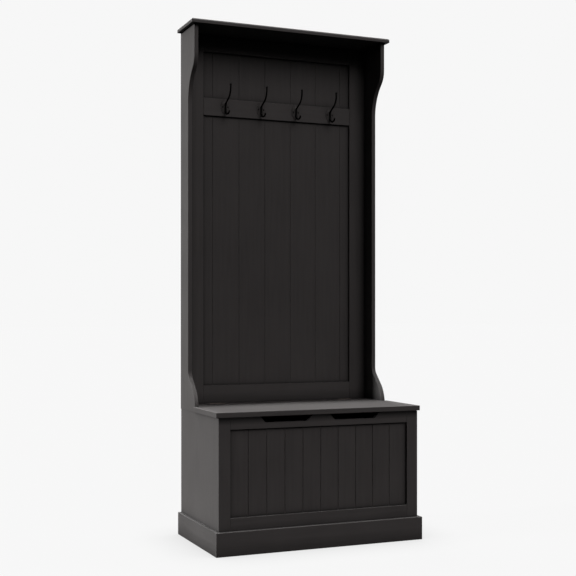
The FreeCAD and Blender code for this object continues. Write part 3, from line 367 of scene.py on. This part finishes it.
def lathe(shape, rings, turn, sides, stretch=(1.0, 1.0)):
    """Closed skin through (radius, height) rings about an axis, placed by a matrix.

    stretch widens the rings into ovals.  A radius of 0 makes a point.
    """
    loops = []
    for radius, height in rings:
        wide, long = radius * stretch[0], radius * stretch[1]
        angles = [2 * math.pi * step / sides for step in range(sides)] if radius > 0 else [0.0]
        loops.append([shape.verts.new(turn @ Vector((wide * math.cos(angle), long * math.sin(angle), height)))
                      for angle in angles])
    for lower, upper in zip(loops, loops[1:]):
        for step in range(sides):
            after = (step + 1) % sides
            corners = [lower[step % len(lower)], lower[after % len(lower)],
                       upper[after % len(upper)], upper[step % len(upper)]]
            unique = list(dict.fromkeys(corners))
            if len(unique) > 2:
                shape.faces.new(unique)
    for loop in (loops[0], loops[-1]):
        if len(loop) > 2:
            shape.faces.new(loop)


WIRE_SIDES = 20
END_DOME = ((1.0, 0.05), (0.85, 0.55), (0.5, 0.87))


def tube(shape, points, radii):
    """Round wire through points with a radius at each, with domed ends."""
    def ring(center, tangent, radius):
        side = Vector((1, 0, 0))
        up = tangent.cross(side).normalized()
        return [shape.verts.new(center + radius * (math.cos(a) * side + math.sin(a) * up))
                for a in (2 * math.pi * step / WIRE_SIDES for step in range(WIRE_SIDES))]

    count = len(points)
    tangents = [(points[min(i + 1, count - 1)] - points[max(i - 1, 0)]).normalized()
                for i in range(count)]
    loops = []
    for lift, shrink in END_DOME:
        loops.append(ring(points[0] - tangents[0] * radii[0] * lift, tangents[0], radii[0] * shrink))
    loops += [ring(p, t, r) for p, t, r in zip(points, tangents, radii)]
    for lift, shrink in reversed(END_DOME):
        loops.append(ring(points[-1] + tangents[-1] * radii[-1] * lift, tangents[-1], radii[-1] * shrink))
    for lower, upper in zip(loops, loops[1:]):
        for step in range(WIRE_SIDES):
            after = (step + 1) % WIRE_SIDES
            shape.faces.new([lower[step], lower[after], upper[after], upper[step]])
    shape.faces.new(loops[0])
    shape.faces.new(loops[-1])


# ------------------------------------------------------------ coat hooks

HOOKS = [name for name in sorted(NODES) if name.startswith("coat_hook_")]
PLATE_CENTER = 1573.0 * MM
PLATE_HALF = 16.5 * MM, 25.0 * MM
PLATE_RINGS = [(1.00, 0.0), (1.00, 0.9), (0.985, 1.3), (0.95, 1.5), (0.90, 1.35), (0.86, 1.45),
               (0.80, 1.9), (0.68, 2.4), (0.50, 2.75), (0.28, 2.95), (0.0, 3.0)]
STEM_OFFSET, STEM_TOP, STEM_BOTTOM = 7.0 * MM, 7.0 * MM, -12.0 * MM
ARM_MOVES = [("run", STEM_TOP - STEM_BOTTOM), ("bend", 9 * MM, -65), ("run", 26 * MM),
             ("bend", 43 * MM, 65), ("run", 8 * MM)]
TOE_MOVES = [("bend", 17 * MM, 90), ("run", 8 * MM), ("bend", 16 * MM, 60)]
WIRE_THICK, WIRE_THIN = 3.4 * MM, 2.9 * MM
BALL_RINGS = [(0.0, -4.0), (1.6, -3.7), (2.9, -2.8), (3.7, -1.5), (4.0, 0.0), (3.7, 1.5), (2.9, 2.8),
              (1.6, 3.7), (0.0, 4.0)]
COLLAR_RINGS = [(2.5, -6.4), (3.2, -6.0), (3.4, -5.4), (3.2, -4.8), (2.5, -4.4)]
PAD_RINGS = [(0.0, -3.1), (1.8, -2.6), (2.9, -1.4), (3.2, 0.0), (2.9, 1.4), (1.8, 2.6), (0.0, 3.1)]
CURVE_STEP = 2.0 * MM


def hook_curve(x, depth_zero, height, heading, moves):
    """Points of a bent wire in the plane x = constant.

    heading is in degrees from the wall's outward direction, turning up.  A move is
    ("run", length) or ("bend", radius, degrees), where positive degrees turn upward.
    """
    out, up = depth_zero, height
    points = [Vector((x, -out, up))]
    for kind, size, *turn in moves:
        if kind == "run":
            count = max(1, round(size / CURVE_STEP))
            pieces = [(size / count, 0.0)] * count
        else:
            length = size * abs(math.radians(turn[0]))
            count = max(6, round(length / CURVE_STEP))
            chord = 2 * size * math.sin(abs(math.radians(turn[0])) / count / 2)
            pieces = [(chord, turn[0] / count)] * count
        for length, change in pieces:
            heading += change / 2
            out += length * math.cos(math.radians(heading))
            up += length * math.sin(math.radians(heading))
            heading += change / 2
            points.append(Vector((x, -out, up)))
    return points


def tapered(count, start, end):
    return [start + (end - start) * step / (count - 1) for step in range(count)]


def in_metres(rings):
    return [(radius * MM, rise * MM) for radius, rise in rings]


def iron_piece(node, shape, material, smooth=True):
    """Iron that rides on the carcass in place of a CAD node."""
    piece = new_piece(node + "_iron", shape, material, smooth)
    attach(piece, "carcass")
    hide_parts(node)


def coat_hook(node):
    """Bent-wire double hook: domed oval plate, stem, long ball-tipped arm and short curled toe."""
    low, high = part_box(node)
    x, wall = (low.x + high.x) / 2, high.y
    shape = bmesh.new()
    facing = Matrix.Translation((x, wall, PLATE_CENTER)) @ Matrix.Rotation(math.radians(90), 4, "X")
    lathe(shape, [(radius, rise * MM) for radius, rise in PLATE_RINGS], facing, 48, PLATE_HALF)

    stem_out, stem_start = STEM_OFFSET - wall, PLATE_CENTER + STEM_BOTTOM
    arm = hook_curve(x, stem_out, stem_start, 90, ARM_MOVES)
    tube(shape, arm, tapered(len(arm), WIRE_THICK, WIRE_THIN))
    for rings in (BALL_RINGS, COLLAR_RINGS):
        lathe(shape, in_metres(rings), Matrix.Translation(arm[-1]), 24)

    toe = hook_curve(x, stem_out, stem_start, -90, TOE_MOVES)
    tube(shape, toe, tapered(len(toe), WIRE_THICK, WIRE_THIN))
    lathe(shape, in_metres(PAD_RINGS), Matrix.Translation(toe[-1]), 20)
    iron_piece(node, shape, IRON)


SCREW_OFFSET, SCREW_LIFT = 10.0 * MM, 0.8 * MM
SCREW_RADIUS, SCREW_RISE, SCREW_SLOT = 3.0 * MM, 1.8 * MM, 0.8 * MM
SLOT_FLOOR = [(2.9, -0.4), (2.9, 0.5), (0.0, 0.5)]


def half_dome(shape, side, turn):
    """Half of a domed screw head, on one side (1 or -1) of its slot."""
    part = bmesh.new()
    rings = [(SCREW_RADIUS * math.cos(a), SCREW_RISE * math.sin(a))
             for a in (math.pi / 2 * n / 8 for n in range(8))]
    lathe(part, [(SCREW_RADIUS * 0.92, -0.3 * MM)] + rings + [(0.0, SCREW_RISE)], Matrix.Identity(4), 32)
    cut = bmesh.ops.bisect_plane(part, geom=part.verts[:] + part.edges[:] + part.faces[:],
                                 plane_co=(0, side * SCREW_SLOT / 2, 0), plane_no=(0, side, 0),
                                 clear_inner=True)
    rim = [item for item in cut["geom_cut"] if isinstance(item, bmesh.types.BMEdge)]
    bmesh.ops.edgenet_fill(part, edges=rim)
    bmesh.ops.transform(part, matrix=turn, verts=part.verts)
    shell = bpy.data.meshes.new("half")
    part.to_mesh(shell)
    part.free()
    shape.from_mesh(shell)
    bpy.data.meshes.remove(shell)


def hook_screws(node):
    """Slotted round-head screws, two in each hook plate."""
    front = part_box(node)[0].y
    shape = bmesh.new()
    for hook in HOOKS:
        left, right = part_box(hook)
        middle = (left.x + right.x) / 2
        for number, side in enumerate((-1, 1)):
            seat = Vector((middle + side * SCREW_OFFSET, front + SCREW_RISE - SCREW_LIFT, PLATE_CENTER))
            slot_turn = math.radians(35 + 70 * number + 25 * middle / MM)
            turn = (Matrix.Translation(seat) @ Matrix.Rotation(math.radians(90), 4, "X")
                    @ Matrix.Rotation(slot_turn, 4, "Z"))
            for half in (-1, 1):
                half_dome(shape, half, turn)
            lathe(shape, in_metres(SLOT_FLOOR), turn, 24)
    iron_piece(node, shape, IRON_SCREW, smooth=False)


# ------------------------------------------------------------ studio

BACKGROUND = 0.930
FLOOR_GLOW, FLOOR_ALBEDO, FLOOR_HALF = 0.900, 0.010, 60.0
CONTACT_REACH, CONTACT_POWER = 200 * MM, 0.25
DOME_RADIUS = 80.0
ROOM_LIGHT = 0.02
LIGHT_DISTANCE = 6.0
FRONT_HUE = (1.06, 1.0, 1.0)


def to_camera_only(piece):
    """The pale surroundings are seen but don't light the object."""
    piece.visible_diffuse = False
    piece.visible_glossy = False
    piece.visible_transmission = False
    piece.visible_shadow = False


def stage_floor():
    """Pale floor, with a painted contact shadow that makes it a little darker close to the object."""
    mesh = bpy.data.meshes.new("studio_floor")
    corners = [(x * FLOOR_HALF, y * FLOOR_HALF, 0) for x, y in ((-1, -1), (1, -1), (1, 1), (-1, 1))]
    mesh.from_pydata(corners, [], [(0, 1, 2, 3)])
    floor = bpy.data.objects.new("studio_floor", mesh)
    bpy.context.scene.collection.objects.link(floor)
    shader = Shader("studio_floor")
    diffuse = shader.add("ShaderNodeBsdfDiffuse", {"Color": gray(FLOOR_ALBEDO)})
    # Painted contact shadow: the floor's glow dims near the object.
    painted_contact_shadow = shader.math("POWER", shader.crease(CONTACT_REACH), CONTACT_POWER)
    glow = shader.add("ShaderNodeEmission", {"Color": shader.mix(painted_contact_shadow, gray(0.0), gray(FLOOR_GLOW))})
    both = shader.add("ShaderNodeAddShader", {0: diffuse.outputs[0], 1: glow.outputs[0]})
    shader.add("ShaderNodeOutputMaterial", {"Surface": both.outputs[0]})
    mesh.materials.append(shader.owner)
    to_camera_only(floor)


def stage_dome():
    """Pale dome far away, which fills the view above the floor's edge."""
    shape = bmesh.new()
    bmesh.ops.create_uvsphere(shape, u_segments=48, v_segments=24, radius=DOME_RADIUS)
    shader = Shader("studio_dome")
    glow = shader.add("ShaderNodeEmission", {"Color": gray(BACKGROUND)})
    shader.add("ShaderNodeOutputMaterial", {"Surface": glow.outputs[0]})
    to_camera_only(new_piece("studio_dome", shape, shader.owner))


def studio_world():
    """Dim room light from every side."""
    world = bpy.data.worlds.new("studio")
    bpy.context.scene.world = world
    shader = Shader("studio", world)
    glow = shader.add("ShaderNodeBackground", {"Color": gray(ROOM_LIGHT), "Strength": 1.0})
    shader.add("ShaderNodeOutputWorld", {"Surface": glow.outputs[0]})


def sun(name, strength, azimuth, elevation, spread, color=(1, 1, 1)):
    """Far soft light. Azimuth 0 stands in front of the object, 90 on its right."""
    light = bpy.data.lights.new(name, "SUN")
    light.energy = strength
    light.angle = math.radians(spread)
    light.color = color
    holder = bpy.data.objects.new(name, light)
    bpy.context.scene.collection.objects.link(holder)
    turn, rise = math.radians(azimuth), math.radians(elevation)
    toward = Vector((math.sin(turn) * math.cos(rise), -math.cos(turn) * math.cos(rise),
                     math.sin(rise)))
    holder.location = toward * LIGHT_DISTANCE
    holder.rotation_euler = toward.to_track_quat("Z", "Y").to_euler()


def studio_lights():
    """Strong light from the left and above, weak light in front, fill from the right and behind."""
    sun("left_softbox", 5.75, -94, 16, 8)
    sun("overhead", 5.4, 0, 89.6, 7.5)
    sun("front_softbox", 0.78, 4, 37, 30, FRONT_HUE)
    sun("front_right_softbox", 0.46, 40, 34, 44, FRONT_HUE)
    sun("front_low", 0.11, 10, 20, 14, FRONT_HUE)
    sun("right_fill", 1.2, 100, 10, 20)
    sun("back_fill", 3.0, 180, 45, 20)


# ------------------------------------------------------------ making

for hook in HOOKS:
    coat_hook(hook)
hook_screws("hook_screws")
stage_floor()
stage_dome()
studio_world()
studio_lights()
camera()
bpy.context.scene.view_settings.view_transform = "Standard"
